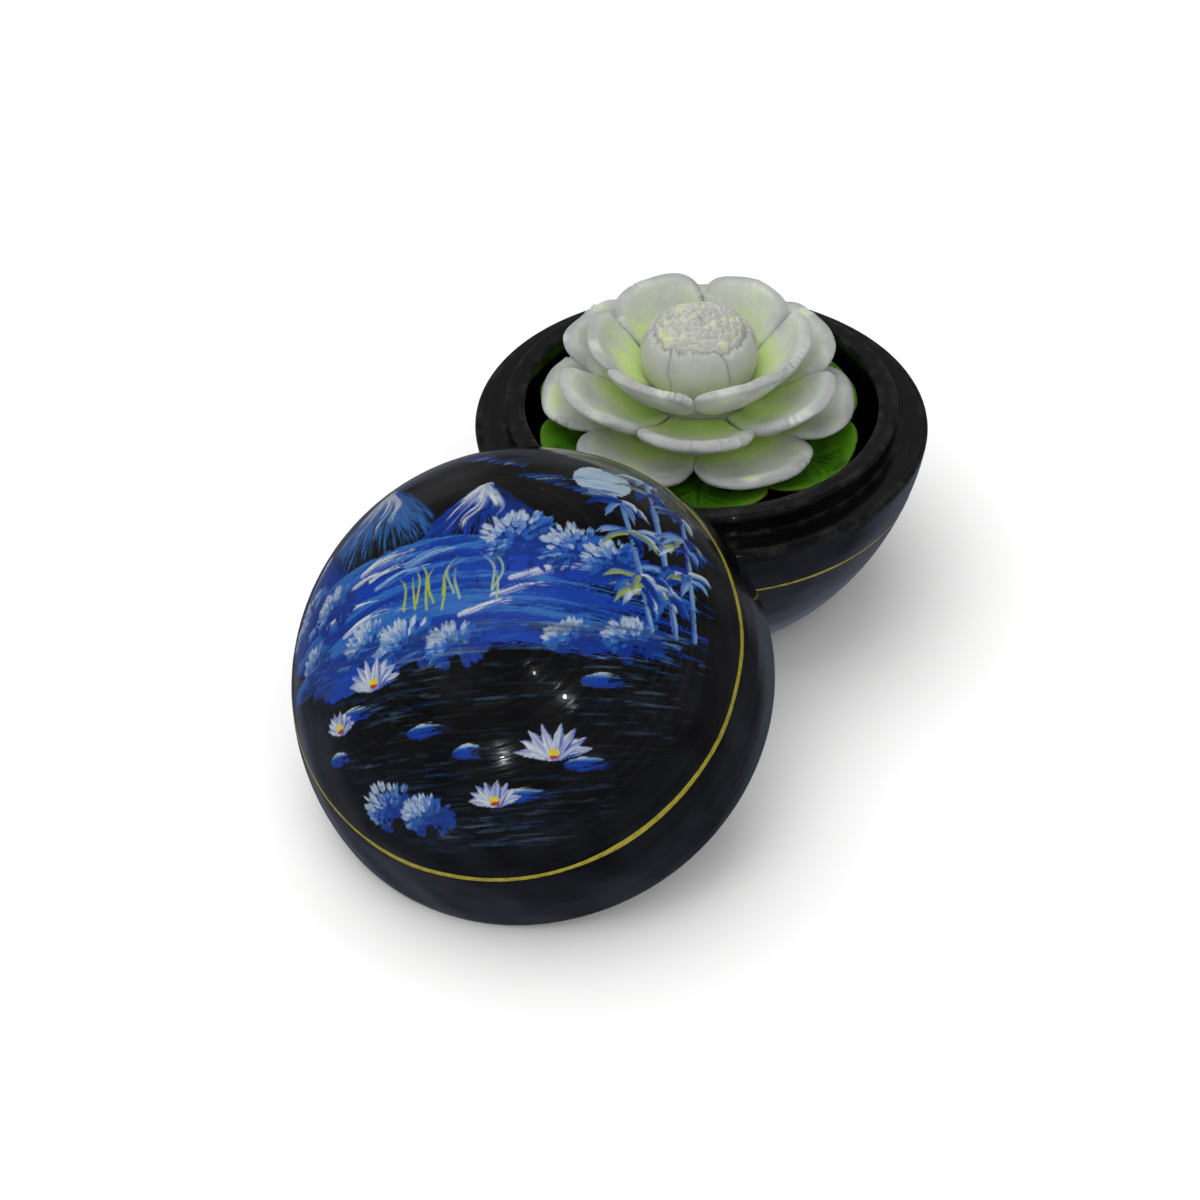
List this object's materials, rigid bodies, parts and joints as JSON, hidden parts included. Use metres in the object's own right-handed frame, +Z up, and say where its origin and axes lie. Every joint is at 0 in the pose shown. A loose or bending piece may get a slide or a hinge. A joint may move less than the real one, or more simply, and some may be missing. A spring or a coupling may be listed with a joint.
{
  "type": "lacquer box",
  "caption": "Round black lacquered wooden box with a domed lid that lifts off, a stepped rim and a carved soap flower standing in its bowl.",
  "frame": {"origin": "middle of the bowl's flat foot, on the table", "axes": "+Z up, +Y away from the viewer of the picture, +X to their right"},
  "size_m": [0.1359, 0.1744, 0.079],
  "materials": {
    "black_lacquer": "turned wood under many coats of black lacquer, rubbed and glossy",
    "white_soap": "carved white soap, waxy and a little translucent, lime green at the roots",
    "ivory_soap": "carved ivory soap, waxy, with ragged knife cuts",
    "green_soap": "carved green soap, wet looking, with yellow rims and knife-cut veins",
    "pale_green_soap": "plain block of green-tinted soap below the leaves"
  },
  "bodies": {
    "bowl": {"base_bowl": "black_lacquer"},
    "lid": {"lid": "black_lacquer"},
    "flower": {"flower_stem": "pale_green_soap", "flower_heart": "ivory_soap", "bud_petal_1": "ivory_soap", "bud_petal_2": "ivory_soap", "bud_petal_3": "ivory_soap", "bud_petal_4": "ivory_soap", "bud_petal_5": "ivory_soap", "bud_petal_6": "ivory_soap", "inner_petal_1": "white_soap", "inner_petal_2": "white_soap", "inner_petal_3": "white_soap", "inner_petal_4": "white_soap", "inner_petal_5": "white_soap", "inner_petal_6": "white_soap", "middle_petal_1": "white_soap", "middle_petal_2": "white_soap", "middle_petal_3": "white_soap", "middle_petal_4": "white_soap", "middle_petal_5": "white_soap", "middle_petal_6": "white_soap", "outer_petal_1": "white_soap", "outer_petal_2": "white_soap", "outer_petal_3": "white_soap", "outer_petal_4": "white_soap", "outer_petal_5": "white_soap", "outer_petal_6": "white_soap", "leaf_1": "green_soap", "leaf_2": "green_soap", "leaf_3": "green_soap", "leaf_4": "green_soap", "leaf_5": "green_soap", "leaf_6": "green_soap"}
  },
  "joints": [
    {"name": "lid_lift", "type": "slide", "parent": "bowl", "child": "lid", "axis": [0, 0, 1], "range_m": [0, 0.12]},
    {"name": "flower_lift", "type": "slide", "parent": "bowl", "child": "flower", "axis": [0, 0, 1], "range_m": [0, 0.09]}
  ]
}
